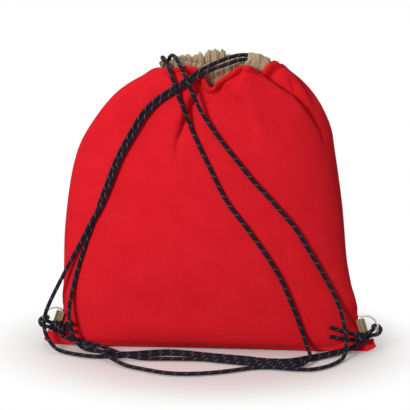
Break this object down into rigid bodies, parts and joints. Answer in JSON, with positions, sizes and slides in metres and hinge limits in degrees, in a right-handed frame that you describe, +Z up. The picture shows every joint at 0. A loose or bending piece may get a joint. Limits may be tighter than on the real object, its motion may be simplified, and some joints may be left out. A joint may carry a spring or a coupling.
{
  "type": "drawstring knapsack",
  "caption": "Stuffed fleece drawstring knapsack standing on its base, mouth drawn shut by cords that run over the front as straps and tie to metal rings at the bottom corners.",
  "frame": {"origin": "middle of the flat base that the knapsack stands on", "axes": "+X along the width, the strap side faces -Y, +Z up through the drawn mouth"},
  "size_m": [0.3713, 0.2208, 0.3186],
  "materials": {
    "red_fleece": "matte",
    "khaki_nylon": "matte",
    "navy_cord": "matte",
    "nickel_wire": "polished"
  },
  "bodies": {
    "bag": {"strap_side_panel": "red_fleece", "outer_side_panel": "red_fleece", "strap_side_casing": "khaki_nylon", "outer_side_casing": "khaki_nylon", "tab_left": "khaki_nylon", "tab_right": "khaki_nylon", "cord_left_channel": "navy_cord", "cord_left_strand_1": "navy_cord", "cord_left_strand_2": "navy_cord", "cord_right_channel": "navy_cord", "cord_right_strand_1": "navy_cord", "cord_right_strand_2": "navy_cord", "knot_left": "navy_cord", "knot_right": "navy_cord"},
    "left_ring": {"ring_left": "nickel_wire"},
    "right_ring": {"ring_right": "nickel_wire"}
  },
  "joints": [
    {"name": "left_ring_swing", "type": "hinge", "parent": "bag", "child": "left_ring", "pos_m": [-0.1585, -0.038, 0.0268], "axis": [0.2998, 0.2428, 0.9226], "range_deg": [-8, 8]},
    {"name": "right_ring_swing", "type": "hinge", "parent": "bag", "child": "right_ring", "pos_m": [0.1675, -0.03842, 0.0252], "axis": [-0.2998, 0.2428, 0.9226], "range_deg": [-8, 8]}
  ]
}
